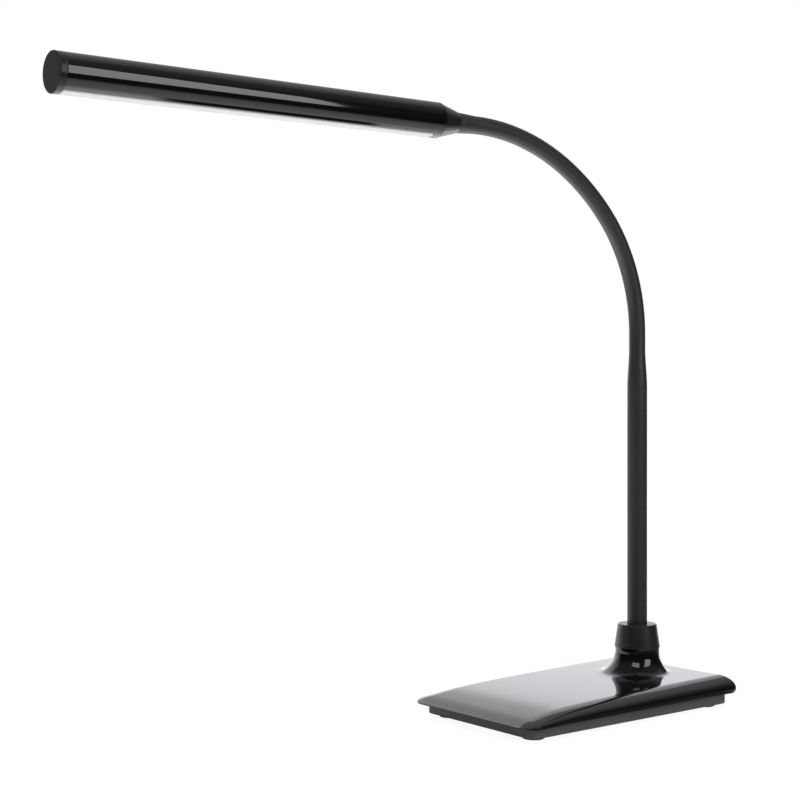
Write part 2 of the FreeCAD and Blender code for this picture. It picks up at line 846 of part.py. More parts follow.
def bar_slot(start, end):
    """The slot in a plug that holds the heat sink's end."""
    half = bar_half_width + FIT
    return block(start, end, -half, half, BAR_BOTTOM - FIT, bar_top + FIT)


def head_neck_cap():
    """Cone that joins the neck to the head tube, with a plug inside the tube."""
    plug_end = CONE_LENGTH + SPIGOT_LENGTH
    cone = Part.makeCone(CONE_SMALL_RADIUS, HEAD_RADIUS, CONE_LENGTH, vec(0, 0, 0), FORWARD)
    small_edge = [e for e in cone.Edges if e.BoundBox.XMax < FIT]
    cone = cone.makeFillet(CONE_EDGE, small_edge)
    cap = cone.fuse(rod(spigot_radius, CONE_LENGTH, plug_end))
    cap = cap.cut(rod(FERRULE_RADIUS + FIT, 0, CONE_END_WALL))
    cap = cap.cut(rod(CONE_BORE, CONE_END_WALL, plug_end))
    cap = cap.cut(bar_slot(bar_start - FIT, plug_end))
    return placed(cap.removeSplitter())


def head_housing():
    """Glossy tube with the light opening along its underside."""
    tube = rod(HEAD_RADIUS, CONE_LENGTH, housing_end)
    tube = tube.cut(rod(head_bore, CONE_LENGTH, housing_end))
    return placed(tube.cut(wedge(SLOT_HALF_ANGLE, slot_start, housing_end)))


def diffuser():
    """Opal strip flush with the tube, held from inside by a wider liner."""
    start = slot_start + FIT
    end = housing_end
    side_gap = math.degrees(FIT / head_bore)
    face = rod(HEAD_RADIUS, start, end).cut(rod(head_bore - 2 * FIT, start, end))
    face = face.common(wedge(SLOT_HALF_ANGLE - side_gap, start, end))
    outer = head_bore - FIT
    liner = rod(outer, start, end).cut(rod(outer - DIFFUSER_LINER, start, end))
    liner = liner.common(wedge(SLOT_HALF_ANGLE + DIFFUSER_LINER_ANGLE, start, end))
    return placed(face.fuse(liner).removeSplitter())


def head_end_cap():
    """Round end cap with a plug that holds the heat sink and clears the diffuser."""
    face_end = housing_end + END_CAP_LENGTH
    disc = rod(HEAD_RADIUS, housing_end, face_end)
    rim = [e for e in disc.Edges if e.BoundBox.XMin > face_end - FIT]
    disc = disc.makeFillet(END_CAP_EDGE, rim)
    plug_start = housing_end - SPIGOT_LENGTH
    plug = rod(spigot_radius, plug_start, housing_end)
    room = SLOT_HALF_ANGLE + DIFFUSER_LINER_ANGLE + PLUG_CLEARANCE_ANGLE
    plug = plug.cut(wedge(room, plug_start, housing_end))
    plug = plug.cut(bar_slot(plug_start, bar_end + FIT))
    return placed(disc.fuse(plug).removeSplitter())


def head_screw_places():
    """Where the light board's screws go into the heat sink."""
    half = HEAD_SCREW_SPACING / 2
    for x in (board_start + HEAD_SCREW_SETBACK, board_end - HEAD_SCREW_SETBACK):
        for y in (-half, half):
            yield x, y


def heat_sink():
    """Aluminium bar across the tube that carries the light board."""
    bar = block(bar_start, bar_end, -bar_half_width, bar_half_width, BAR_BOTTOM, bar_top)
    for x, y in head_screw_places():
        bar = bar.cut(post(HEAD_SCREW_RADIUS + SHAFT_FIT, BAR_BOTTOM, bar_top, x, y))
    return placed(bar)


def led_board():
    half = LED_BOARD_WIDTH / 2
    board = block(board_start, board_end, -half, half, led_board_bottom, BAR_BOTTOM)
    for x, y in head_screw_places():
        board = board.cut(post(HEAD_SCREW_RADIUS + FIT, led_board_bottom, BAR_BOTTOM, x, y))
    return placed(board)


def leds():
    """A row of light sources on the board's underside."""
    first = board_start + LED_END_SETBACK
    last = board_end - LED_END_SETBACK
    pitch = (last - first) / (LED_COUNT - 1)
    row = []
    for k in range(LED_COUNT):
        x = first + k * pitch
        low = led_board_bottom - LED_HEIGHT
        half_length = LED_LENGTH / 2
        half_width = LED_WIDTH / 2
        one = block(
            x - half_length, x + half_length, -half_width, half_width, low, led_board_bottom
        )
        row.append(placed(one))
    return row


def head_screws():
    """Small screws that hold the light board to the heat sink from below."""
    length = LED_BOARD_THICKNESS + BAR_THICKNESS
    one = screw(HEAD_SCREW_RADIUS, length, HEAD_SCREW_HEAD, HEAD_SCREW_HEAD_HEIGHT)
    one.rotate(vec(0, 0, 0), FORWARD, 180)
    return [placed(moved(one, x, y, led_board_bottom)) for x, y in head_screw_places()]


# Electrics in the base


def control_board():
    board = block(
        board_rear, board_front, -BOARD_WIDTH / 2, BOARD_WIDTH / 2, board_bottom, board_top
    )
    for x, y in board_screw_places():
        board = board.cut(post(BOARD_SCREW_RADIUS + FIT, board_bottom, board_top, x, y))
    return board


def board_screws():
    length = board_top - board_screw_tip()
    one = screw(BOARD_SCREW_RADIUS, length, BOARD_SCREW_HEAD, BOARD_SCREW_HEAD_HEIGHT)
    return [moved(one, x, y, board_top) for x, y in board_screw_places()]


def board_parts():
    """A control chip, a coil and a capacitor on the board."""
    length, width, height = CHIP_SIZE
    x = board_rear + BOARD_LENGTH / 2
    y = BOARD_WIDTH / 4
    chip = block(x - length / 2, x + length / 2, y, y + width, board_top, board_top + height)
    coil = post(COIL_RADIUS, board_top, board_top + COIL_HEIGHT, board_rear + COIL_SETBACK, -y)
    capacitor_x = x + CAPACITOR_FORWARD
    capacitor_y = -y - CAPACITOR_ASIDE
    capacitor_top = board_top + CAPACITOR_HEIGHT
    capacitor = post(CAPACITOR_RADIUS, board_top, capacitor_top, capacitor_x, capacitor_y)
    return [chip, coil, capacitor]


def touch_post():
    """Conductive foam post between the board and the cover's underside, for the touch switch."""
    x = board_rear + BOARD_LENGTH / 2
    return post(TOUCH_POST_RADIUS, board_top, rear_top, x, 0).common(cover_room(FIT))


def dc_jack():
    """Supply socket on the tray's shelf, with its mouth in the cover's rear end."""
    half = JACK_WIDTH / 2
    body_rear = cover_rear + COVER_WALL + SEAT_GAP
    body = block(body_rear, jack_inner, -half, half, jack_bottom, jack_bottom + JACK_HEIGHT)
    nose = rod(JACK_NOSE_RADIUS, cover_rear, body_rear, 0, jack_axis)
    body = body.common(cover_room(FIT)).fuse(nose)
    bore = rod(JACK_BORE, cover_rear, cover_rear + JACK_BORE_DEPTH, 0, jack_axis)
    pin_start = cover_rear + JACK_PIN_SETBACK
    pin = rod(JACK_PIN_RADIUS, pin_start, cover_rear + JACK_BORE_DEPTH, 0, jack_axis)
    return body.cut(bore).fuse(pin).removeSplitter()


def supply_leads():
    """Two leads from the jack under the ballast to the control board."""
    leads = []
    drop = (jack_inner - BALLAST_BACK) / 2
    for y in (-LEAD_SPACING / 2, LEAD_SPACING / 2):
        points = [
            vec(jack_inner, y, jack_axis),
            vec(drop, y, jack_axis),
            vec(drop, y, wire_level),
            vec(board_rear + LEAD_SETBACK, y, wire_level),
            vec(board_rear + LEAD_SETBACK, y, board_bottom),
        ]
        leads.append(cable(points, LEAD_RADIUS, LEAD_BEND))
    return leads


def build():
    os.makedirs("parts", exist_ok=True)
    save("rubber_feet", *rubber_feet())
    save("base_tray", base_tray())
    save("base_cover", base_cover())
    save("base_screws", *base_screws())
    save("ballast_plate", ballast_plate())
    save("ballast_screws", *ballast_screws())
    save("neck_flange", neck_flange())
    save("flange_screws", *flange_screws())
    save("neck_collar", neck_collar())
    save("neck_tube", neck_tube())
    save("lower_sleeve", lower_sleeve())
    save("lower_conduit", lower_conduit())
    save("lower_wires", *lower_wires())
    save("control_board", control_board())
    save("board_screws", *board_screws())
    save("board_parts", *board_parts())
    save("touch_post", touch_post())
    save("dc_jack", dc_jack())
    save("supply_leads", *supply_leads())
    for k in range(link_count()):
        save("link_%d_sleeve" % (k + 1), link_sleeve(k))
        save("link_%d_conduit" % (k + 1), link_conduit(k))
        save("link_%d_wires" % (k + 1), *link_wires(k))
    save("head_sleeve", head_sleeve())
    save("head_conduit", head_conduit())
    save("head_ferrule", head_ferrule())
    save("head_nut", head_nut())
    save("head_wires", *head_wires())
    save("lead_connector", lead_connector())
    save("head_neck_cap", head_neck_cap())
    save("head_housing", head_housing())
    save("diffuser", diffuser())
    save("head_end_cap", head_end_cap())
    save("heat_sink", heat_sink())
    save("led_board", led_board())
    save("leds", *leds())
    save("head_screws", *head_screws())


build()
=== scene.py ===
"""A gooseneck desk lamp in a plain white studio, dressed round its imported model.

Sizes are in metres and angles in degrees unless a name says otherwise. The origin is on the
desk under the neck's axis, +Z is up and +X runs along the base towards its front.
"""

import json
import math

import bpy
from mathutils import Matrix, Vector

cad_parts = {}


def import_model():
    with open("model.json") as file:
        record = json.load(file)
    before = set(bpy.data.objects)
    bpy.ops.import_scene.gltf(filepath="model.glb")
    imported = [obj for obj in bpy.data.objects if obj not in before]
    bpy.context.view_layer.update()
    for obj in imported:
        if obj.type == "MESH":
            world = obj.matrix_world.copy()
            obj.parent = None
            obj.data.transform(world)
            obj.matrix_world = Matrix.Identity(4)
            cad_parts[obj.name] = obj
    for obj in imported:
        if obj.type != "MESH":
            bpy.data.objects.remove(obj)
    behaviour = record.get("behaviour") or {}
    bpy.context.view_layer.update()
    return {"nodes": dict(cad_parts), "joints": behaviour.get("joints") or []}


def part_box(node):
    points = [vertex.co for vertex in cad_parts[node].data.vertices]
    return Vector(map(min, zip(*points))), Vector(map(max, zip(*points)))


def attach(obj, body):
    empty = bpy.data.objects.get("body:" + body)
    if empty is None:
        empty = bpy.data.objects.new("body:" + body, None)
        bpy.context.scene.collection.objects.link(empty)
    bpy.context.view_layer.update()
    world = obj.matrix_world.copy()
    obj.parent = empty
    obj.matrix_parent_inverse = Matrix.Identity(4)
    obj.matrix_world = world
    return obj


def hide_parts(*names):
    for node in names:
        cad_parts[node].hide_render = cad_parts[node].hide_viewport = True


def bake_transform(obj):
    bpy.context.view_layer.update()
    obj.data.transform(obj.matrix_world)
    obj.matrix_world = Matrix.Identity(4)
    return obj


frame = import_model()
joints = {joint["name"]: joint for joint in frame["joints"]}

MM = 0.001
UP = Vector((0, 0, 1))
ACROSS = Vector((0, 1, 0))

# Camera, solved from the photograph's vanishing points, in its 800 pixel frame
IMAGE_WIDTH = 800
FOCAL_PIXELS = 1482
SENSOR_WIDTH_MM = 36.0
CAMERA_PLACE = Vector((0.820, 0.763, 0.224))
CAMERA_HEADING = Vector((-0.615, -0.788, 0.0))
CAMERA_AHEAD = CAMERA_HEADING.normalized()
CAMERA_RIGHT = CAMERA_AHEAD.cross(UP)

# Base cover. Its wall leans in by a share of its height and ends in a small edge
COVER_BOTTOM = 10.4 * MM
COVER_CORNER = 11.5 * MM
COVER_WALL = 2.2 * MM
COVER_LEAN = 0.24
COVER_BOTTOM_EDGE = 0.15 * MM

# The lip hangs down by the droop at the front, and less and less over a reach behind it
COVER_DROOP = 0.6 * MM
COVER_DROOP_REACH = 45.0 * MM

# The top along its middle, in mm behind the front and above the bottom, and its first slope
COVER_STATIONS_MM = ((0.0, 1.0), (9.9, 3.9), (40.5, 7.8), (102.5, 10.2), (213.0, 12.3))
COVER_NOSE_SLOPE = 0.36

# The top rolls off near its outline by a height, or by a share of its own where that is less
COVER_ROLL_WIDTH = 13.0 * MM
COVER_ROLL_HEIGHT = 9.2 * MM
COVER_ROLL_SHARE = 0.74
COVER_ROLL_POWER = 1.7
COVER_ROLL_MARGIN = 1.2

# Flare, by (radius, height) at its foot, waist and top, and the share that skews it forwards
FLARE_POINTS = ((25.0 * MM, 21.6 * MM), (19.6 * MM, 27.0 * MM), (16.4 * MM, 40.4 * MM))
FLARE_WALL = 2.4 * MM
FLARE_FILLET = 1.0 * MM
FLARE_SKEW = 0.2
FLARE_RUN_OUT = 2.0 * MM

# Hole for the supply socket in the rear end
JACK_HEIGHT = 16.0 * MM
JACK_HOLE_RADIUS = 4.0 * MM
JACK_HOLE_REACH = 3 * COVER_WALL
JACK_HOLE_SIDES = 64

# How finely the cover is divided
COVER_DIRECTIONS = 900
FLARE_STEPS = 40
FLARE_INSIDE_STEPS = 10
PLAIN_STEPS = 16
ROLL_STEPS = 22
LEAN_STEPS = 5
HOLLOW_STEPS = 8
FARTHEST_REACH = 0.3
REACH_HALVINGS = 40

# Neck. Its sleeve is stout up to a taper, and opens a little again where the head begins
LINKS = 8
LOWER_RADIUS = 7.35 * MM
LOWER_START = 26.4 * MM
TAPER_START = 233.0 * MM
TAPER_END = 262.0 * MM
SLEEVE_RADIUS = 6.0 * MM
SLEEVE_BORE = 5.3 * MM
SLEEVE_END_RADIUS = 6.9 * MM
NECK_END = 20.0 * MM

# How finely the neck is divided
NECK_SIDES = 72
NECK_STEP = 1.0 * MM
STOUT_STEPS = 60
FIRST_STEPS = 16
LAST_STEPS = 20

# Head, measured along its axis from the neck's end
HEAD_RADIUS = 12.0 * MM
HEAD_WALL = 1.5 * MM
CONE_LENGTH = 16.2 * MM
HOUSING_END = 286.5 * MM
SLOT_START = 22.2 * MM
SLOT_HALF_ANGLE = 29.5
SLOT_GAP = 0.12 * MM
DIFFUSER_WALL = 1.4 * MM
DIFFUSER_SET_BACK = 0.05 * MM

# The head's rounded edges, with a line of points at a support's distance from each
EDGE = 0.22 * MM
EDGE_SEGMENTS = 3
EDGE_FROM_ANGLE = 35.0
SUPPORT = 0.6 * MM

# How finely the head is divided
HEAD_SIDES = 240
SLOT_STEPS = 40
HEAD_STEPS = 24

# Edges are shaded smooth up to these angles
SMOOTH_ANGLE = 40.0
COVER_SMOOTH_ANGLE = 50.0


# Frame


def seats():
    """Each neck hinge's place and the neck's heading there, in radians from upright."""
    names = [kind % k for k in range(1, LINKS // 2 + 1) for kind in ("bend_%d", "side_%d")]
    names.append("bend_%d" % (LINKS // 2 + 1))
    places = [Vector(joints[name]["pos_m"]) for name in names]
    headings = [0.0]
    for here, there in zip(places, places[1:]):
        chord = there - here
        headings.append(2 * math.atan2(chord.x, chord.z) - headings[-1])
    return list(zip(places, headings))


HINGES = seats()
HALF_LINK = (HINGES[1][0] - HINGES[0][0]).length / 2


def ahead(heading):
    """The neck's own direction at a heading."""
    return Vector((math.sin(heading), 0, math.cos(heading)))


def inward(heading):
    """The direction square to the neck, towards the inside of its bend."""
    return Vector((math.cos(heading), 0, -math.sin(heading)))


def head_place():
    """Where the head's axis starts, and its direction."""
    place, heading = HINGES[-1]
    return place + ahead(heading) * NECK_END, ahead(heading)


# Mesh helpers


def spaced(start, end, count):
    """Values at even steps from start to end, both included."""
    return [start + (end - start) * k / count for k in range(count + 1)]


def eased(t):
    """A share from 0 to 1 that starts and ends gently."""
    t = min(1.0, max(0.0, t))
    return t * t * (3 - 2 * t)


def mesh_object(name, points, faces, material):
    """A mesh object in the scene from points and faces."""
    mesh = bpy.data.meshes.new(name)
    mesh.from_pydata([tuple(p) for p in points], [], faces)
    mesh.materials.append(material)
    thing = bpy.data.objects.new(name, mesh)
    bpy.context.scene.collection.objects.link(thing)
    return thing


def smooth(piece, angle=SMOOTH_ANGLE):
    """Shades the piece smooth, apart from edges sharper than an angle."""
    piece.data.shade_smooth()
    piece.data.set_sharp_from_angle(angle=math.radians(angle))


def ring_faces(rings, sides, closed):
    """Quads between neighbouring rings of points, and from the last to the first if closed."""
    faces = []
    for i in range(rings if closed else rings - 1):
        a = i * sides
        b = (i + 1) % rings * sides
        for j in range(sides):
            k = (j + 1) % sides
            faces.append((a + j, a + k, b + k, b + j))
    return faces


def apply_modifiers(piece):
    """Replaces the piece's mesh with the one that its modifiers give."""
    graph = bpy.context.evaluated_depsgraph_get()
    mesh = bpy.data.meshes.new_from_object(piece.evaluated_get(graph))
    piece.modifiers.clear()
    piece.data = mesh


# Shader helpers


def empty_material(name):
    """A material with only its output node, with its nodes, its links and the output's surface."""
    material = bpy.data.materials.new(name)
    material.use_nodes = True
    nodes = material.node_tree.nodes
    nodes.clear()
    surface = nodes.new("ShaderNodeOutputMaterial").inputs["Surface"]
    return material, nodes, material.node_tree.links, surface


def plain_material(name):
    """A material with Blender's usual shader, with its nodes, its links and that shader."""
    material = bpy.data.materials.new(name)
    material.use_nodes = True
    nodes = material.node_tree.nodes
    return material, nodes, material.node_tree.links, nodes["Principled BSDF"]


def ramp(nodes, links, source, first, last, at_first, at_last, smoothed=False):
    """A number that goes from one value to another between two places."""
    change = nodes.new("ShaderNodeMapRange")
    if smoothed:
        change.interpolation_type = "SMOOTHSTEP"
    change.inputs["From Min"].default_value = first
    change.inputs["From Max"].default_value = last
    change.inputs["To Min"].default_value = at_first
    change.inputs["To Max"].default_value = at_last
    links.new(source, change.inputs["Value"])
    return change.outputs["Result"]


def product(nodes, links, *factors):
    """All the factors, multiplied."""
    result = factors[0]
    for factor in factors[1:]:
        times = nodes.new("ShaderNodeMath")
        times.operation = "MULTIPLY"
        links.new(result, times.inputs[0])
        links.new(factor, times.inputs[1])
        result = times.outputs["Value"]
    return result


def along(nodes, links, place, direction):
    """How far a place, or how much a normal, lies in a direction."""
    dot = nodes.new("ShaderNodeVectorMath")
    dot.operation = "DOT_PRODUCT"
    dot.inputs[1].default_value = tuple(direction)
    links.new(place, dot.inputs[0])
    return dot.outputs["Value"]


def axes(nodes, links, place):
    """The x, y and z of a place."""
    apart = nodes.new("ShaderNodeSeparateXYZ")
    links.new(place, apart.inputs["Vector"])
    return apart.outputs["X"], apart.outputs["Y"], apart.outputs["Z"]


# The middle range of the noise, which is stretched to the values wanted
NOISE_RANGE = (0.3, 0.7)


def noise_on(nodes, links, scale, detail):
    """Noise in the object's own coordinates."""
    place = nodes.new("ShaderNodeTexCoord")
    noise = nodes.new("ShaderNodeTexNoise")
    noise.inputs["Scale"].default_value = scale
    noise.inputs["Detail"].default_value = detail
    links.new(place.outputs["Object"], noise.inputs["Vector"])
    return noise.outputs["Fac"]


def uneven(nodes, links, scale, detail, low, high):
    """A number that varies over the object between two values."""
    return ramp(nodes, links, noise_on(nodes, links, scale, detail), *NOISE_RANGE, low, high)


# Materials

PLASTIC_IOR = 1.5
GLOSS_NOISE = (60.0, 3.0)
TINT_NOISE = (25.0, 4.0)
TINT_SHARE = 1.15
GRAIN_DETAIL = 2.0

# Plastics, rubber and foam: colour, roughness, how far it varies, grain size and depth in mm
MOULDED = {
    "gloss_black": ((0.0035, 0.0036, 0.0038), 0.06, 0.015, 12.0, 0.004),
    "satin_black": ((0.095, 0.095, 0.096), 0.45, 0.05, 0.4, 0.03),
    "cap_black": ((0.016, 0.0145, 0.014), 0.22, 0.03, 0.5, 0.004),
    "collar_black": ((0.012, 0.012, 0.012), 0.36, 0.04, 0.5, 0.006),
    "cone_black": ((0.012, 0.012, 0.012), 0.14, 0.03, 0.5, 0.002),
    "sleeve_black": ((0.0135, 0.0135, 0.0137), 0.5, 0.05, 0.5, 0.03),
    "foot_rubber": ((0.03, 0.03, 0.03), 0.7, 0.06, 0.4, 0.04),
    "board_green": ((0.02, 0.16, 0.06), 0.35, 0.05, 0.5, 0.01),
    "board_white": ((0.8, 0.8, 0.78), 0.4, 0.05, 0.5, 0.01),
    "led_yellow": ((0.75, 0.6, 0.18), 0.4, 0.05, 0.3, 0.01),
    "part_dark": ((0.02, 0.02, 0.02), 0.45, 0.05, 0.4, 0.02),
    "foam_grey": ((0.1, 0.1, 0.1), 0.9, 0.05, 0.6, 0.1),
    "wire_red": ((0.5, 0.03, 0.02), 0.4, 0.05, 0.5, 0.01),
}

# Those with less shine than plastic usually has
DULLED = {"cap_black": 0.25, "sleeve_black": 0.47}

# Metals: colour, roughness and the scale of its noise
METALS = {
    "steel": ((0.55, 0.56, 0.58), 0.28, 400.0),
    "iron": ((0.16, 0.155, 0.15), 0.55, 300.0),
    "aluminium": ((0.75, 0.76, 0.77), 0.35, 250.0),
}
METAL_NOISE_DETAIL = 5.0
METAL_SMOOTHEST = 0.8
METAL_ROUGHEST = 1.25

# Diffuser, as the plastics above, with painted shade along its long edges, next to the black tube
OPAL = ((0.74, 0.74, 0.73), 0.30, 0.04, 0.6, 0.004)
OPAL_TINT_SHARE = 0.98
OPAL_SCATTER = 0.3
OPAL_SCATTER_DEPTH = 2.0 * MM
OPAL_PAINTED_SHADE_ANGLE = 9.0
OPAL_PAINTED_SHADE_COLOUR = (0.36, 0.36, 0.36)

# Nodes whose finish differs a little from their slot's
OWN_FINISH = {"neck_collar": "collar_black", "head_neck_cap": "cone_black"}


def moulded(name, colour, roughness, spread, grain_size_mm, grain_depth_mm, tint_share=TINT_SHARE):
    """Moulded plastic or rubber: uneven gloss, a fine grain and slightly uneven colour."""
    material, nodes, links, bsdf = plain_material(name)
    bsdf.inputs["IOR"].default_value = PLASTIC_IOR
    gloss = uneven(nodes, links, *GLOSS_NOISE, roughness - spread, roughness + spread)
    links.new(gloss, bsdf.inputs["Roughness"])
    tint = nodes.new("ShaderNodeMix")
    tint.data_type = "RGBA"
    tint.inputs["A"].default_value = (*colour, 1.0)
    tint.inputs["B"].default_value = (*[c * tint_share for c in colour], 1.0)
    links.new(uneven(nodes, links, *TINT_NOISE, 0.0, 1.0), tint.inputs["Factor"])
    links.new(tint.outputs["Result"], bsdf.inputs["Base Color"])
    grain = noise_on(nodes, links, 1.0 / (grain_size_mm * MM), GRAIN_DETAIL)
    bump = nodes.new("ShaderNodeBump")
    bump.inputs["Distance"].default_value = grain_depth_mm * MM
    links.new(grain, bump.inputs["Height"])
    links.new(bump.outputs["Normal"], bsdf.inputs["Normal"])
    return material


def metal(name, colour, roughness, scale):
    """Machined or cast metal with uneven gloss."""
    material, nodes, links, bsdf = plain_material(name)
    bsdf.inputs["Base Color"].default_value = (*colour, 1.0)
    bsdf.inputs["Metallic"].default_value = 1.0
    low, high = roughness * METAL_SMOOTHEST, roughness * METAL_ROUGHEST
    gloss = uneven(nodes, links, scale, METAL_NOISE_DETAIL, low, high)
    links.new(gloss, bsdf.inputs["Roughness"])
    return material


def opal():
    """Milky diffuser plastic that lets some light in, with painted shade along its two long edges."""
    material = moulded("opal", *OPAL, OPAL_TINT_SHARE)
    nodes, links = material.node_tree.nodes, material.node_tree.links
    bsdf = nodes["Principled BSDF"]
    bsdf.inputs["Subsurface Weight"].default_value = OPAL_SCATTER
    bsdf.inputs["Subsurface Radius"].default_value = (1.0, 1.0, 1.0)
    bsdf.inputs["Subsurface Scale"].default_value = OPAL_SCATTER_DEPTH
    # Painted shade: the colour darkens over the last degrees towards each long edge of the strip
    normal = nodes.new("ShaderNodeTexCoord").outputs["Normal"]
    facing_down = along(nodes, links, normal, inward(HINGES[-1][1]))
    cosines = [math.cos(math.radians(SLOT_HALF_ANGLE - inset)) for inset in (0.0, OPAL_PAINTED_SHADE_ANGLE)]
    middle = ramp(nodes, links, facing_down, *cosines, 0.0, 1.0)
    painted_edge_shade = nodes.new("ShaderNodeMix")
    painted_edge_shade.data_type = "RGBA"
    painted_edge_shade.inputs["A"].default_value = (*OPAL_PAINTED_SHADE_COLOUR, 1.0)
    colour = bsdf.inputs["Base Color"]
    links.new(colour.links[0].from_socket, painted_edge_shade.inputs["B"])
    links.new(middle, painted_edge_shade.inputs["Factor"])
    links.new(painted_edge_shade.outputs["Result"], colour)
    return material


def make_materials():
    """A material for each slot of the record, and for each finish of a node's own."""
    made = {name: moulded(name, *values) for name, values in MOULDED.items()}
    for name, level in DULLED.items():
        bsdf = made[name].node_tree.nodes["Principled BSDF"]
        bsdf.inputs["Specular IOR Level"].default_value = level
    for name, values in METALS.items():
        made[name] = metal(name, *values)
    made["opal"] = opal()
    return made


def dress_frame(materials):
    """Gives every CAD node the material of its slot."""
    for name, node in frame["nodes"].items():
        for place in node.material_slots:
            slot = place.material.name.split(".")[0]
            place.material = materials[OWN_FINISH.get(name, slot)]


# Base cover


cover_low, cover_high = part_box("base_cover")
COVER_REAR = cover_low.x
COVER_FRONT = cover_high.x
COVER_HALF_WIDTH = cover_high.y


def smooth_slopes(stations, first_slope):
    """Slopes at (distance, height) points for a smooth curve that rises all the way."""
    steps = [(b[1] - a[1]) / (b[0] - a[0]) for a, b in zip(stations, stations[1:])]
    slopes = [first_slope]
    for a, b, c, before, after in zip(stations, stations[1:], stations[2:], steps, steps[1:]):
        weight_before = 2 * (c[0] - b[0]) + (b[0] - a[0])
        weight_after = (c[0] - b[0]) + 2 * (b[0] - a[0])
        both = weight_before + weight_after
        slopes.append(both / (weight_before / before + weight_after / after))
    slopes.append(steps[-1])
    return slopes


COVER_SLOPES = smooth_slopes(COVER_STATIONS_MM, COVER_NOSE_SLOPE)


def crown_height(x):
    """The cover's top above its bottom, before the edges roll off."""
    setback = (COVER_FRONT - x) / MM
    i = 0
    while i < len(COVER_STATIONS_MM) - 2 and setback > COVER_STATIONS_MM[i + 1][0]:
        i += 1
    (x0, y0), (x1, y1) = COVER_STATIONS_MM[i], COVER_STATIONS_MM[i + 1]
    m0, m1 = COVER_SLOPES[i], COVER_SLOPES[i + 1]
    span = x1 - x0
    t = max(0.0, (setback - x0) / span)
    height = (
        (1 + 2 * t) * (1 - t) ** 2 * y0
        + t * (1 - t) ** 2 * span * m0
        + t * t * (3 - 2 * t) * y1
        + t * t * (t - 1) * span * m1
    )
    return height * MM


def inside_distance(x, y):
    """How far a point lies inside the cover's rounded outline."""
    centre = (COVER_REAR + COVER_FRONT) / 2
    dx = abs(x - centre) - ((COVER_FRONT - COVER_REAR) / 2 - COVER_CORNER)
    dy = abs(y) - (COVER_HALF_WIDTH - COVER_CORNER)
    outside = math.hypot(max(dx, 0), max(dy, 0))
    return COVER_CORNER - outside - min(max(dx, dy), 0)


def outline_reach(angle, inset):
    """Distance from the neck's axis to the cover's outline, set in by an inset."""
    c, s = math.cos(angle), math.sin(angle)
    low, high = 0.0, FARTHEST_REACH
    for _ in range(REACH_HALVINGS):
        middle = (low + high) / 2
        if inside_distance(c * middle, s * middle) > inset:
            low = middle
        else:
            high = middle
    return low


def lip_level(x):
    """The cover's lower edge, which hangs down a little at the front."""
    return COVER_BOTTOM - COVER_DROOP * (1 - eased((COVER_FRONT - x) / COVER_DROOP_REACH))


def cover_top(x, y):
    """The cover's surface without its flare, with its edges rolled off."""
    height = crown_height(x)
    drop = min(COVER_ROLL_HEIGHT, height * COVER_ROLL_SHARE)
    share = max(0.0, 1 - max(0.0, inside_distance(x, y)) / COVER_ROLL_WIDTH)
    kept = (1 - share ** COVER_ROLL_POWER) ** (1 / COVER_ROLL_POWER)
    return COVER_BOTTOM + height - drop * (1 - kept)


def flare_circle():
    """Centre and radius of the flare's hollow curve, as (radius, height)."""
    (ax, ay), (bx, by), (cx, cy) = FLARE_POINTS
    d = 2 * (ax * (by - cy) + bx * (cy - ay) + cx * (ay - by))
    a2, b2, c2 = ax * ax + ay * ay, bx * bx + by * by, cx * cx + cy * cy
    ux = (a2 * (by - cy) + b2 * (cy - ay) + c2 * (ay - by)) / d
    uy = (a2 * (cx - bx) + b2 * (ax - cx) + c2 * (bx - ax)) / d
    return ux, uy, math.hypot(ax - ux, ay - uy)


FLARE_CENTRE_RADIUS, FLARE_CENTRE_HEIGHT, FLARE_CURVE = flare_circle()


def flare_arc(steps):
    """(radius, height) points down the flare's curve, from its top to just past its foot."""
    top_radius, top_height = FLARE_POINTS[-1]
    start = math.atan2(top_height - FLARE_CENTRE_HEIGHT, top_radius - FLARE_CENTRE_RADIUS)
    if start > 0:
        start -= 2 * math.pi
    last_radius = FLARE_POINTS[0][0] + FLARE_RUN_OUT
    end = -math.acos((last_radius - FLARE_CENTRE_RADIUS) / FLARE_CURVE)
    points = []
    for turn in spaced(start, end, steps):
        radius = FLARE_CENTRE_RADIUS + FLARE_CURVE * math.cos(turn)
        points.append((radius, FLARE_CENTRE_HEIGHT + FLARE_CURVE * math.sin(turn)))
    return points


def skewed(radius, forward):
    """The flare's radius in a direction, which runs out further to the front than to the rear."""
    top = FLARE_POINTS[-1][0]
    return top + (radius - top) * (1 + FLARE_SKEW * forward)


def rounded_max(a, b, width):
    """The higher of two levels, with their corner rounded over a width."""
    share = max(0.0, 1 - abs(a - b) / (2 * width))
    return max(a, b) + share * share * width / 2


def cover_outside(angle):
    """The flare and the top in one direction, from the flare's top to the outline."""
    c, s = math.cos(angle), math.sin(angle)
    arc = [(skewed(radius, c), height) for radius, height in flare_arc(FLARE_STEPS)]
    line = [arc[0]]
    for radius, height in arc[1:]:
        level = cover_top(c * radius, s * radius)
        line.append((radius, rounded_max(level, height, FLARE_FILLET)))
    roll_inset = COVER_ROLL_MARGIN * COVER_ROLL_WIDTH
    reaches = spaced(arc[-1][0], outline_reach(angle, roll_inset), PLAIN_STEPS)[1:]
    for k in range(1, ROLL_STEPS + 1):
        reaches.append(outline_reach(angle, roll_inset * (1 - k / ROLL_STEPS) ** 2))
    return line + [(radius, cover_top(c * radius, s * radius)) for radius in reaches]


def cover_wall(angle, edge, wall_top):
    """The wall in one direction, from the outline down to the lip."""
    lip = lip_level(math.cos(angle) * edge)
    lean = COVER_LEAN * (wall_top - COVER_BOTTOM)
    line = []
    for k in range(1, LEAN_STEPS + 1):
        share = k / LEAN_STEPS
        height = wall_top + (lip + COVER_BOTTOM_EDGE - wall_top) * share
        line.append((edge - lean * share * share, height))
    line.append((edge - lean - COVER_BOTTOM_EDGE, lip))
    return line


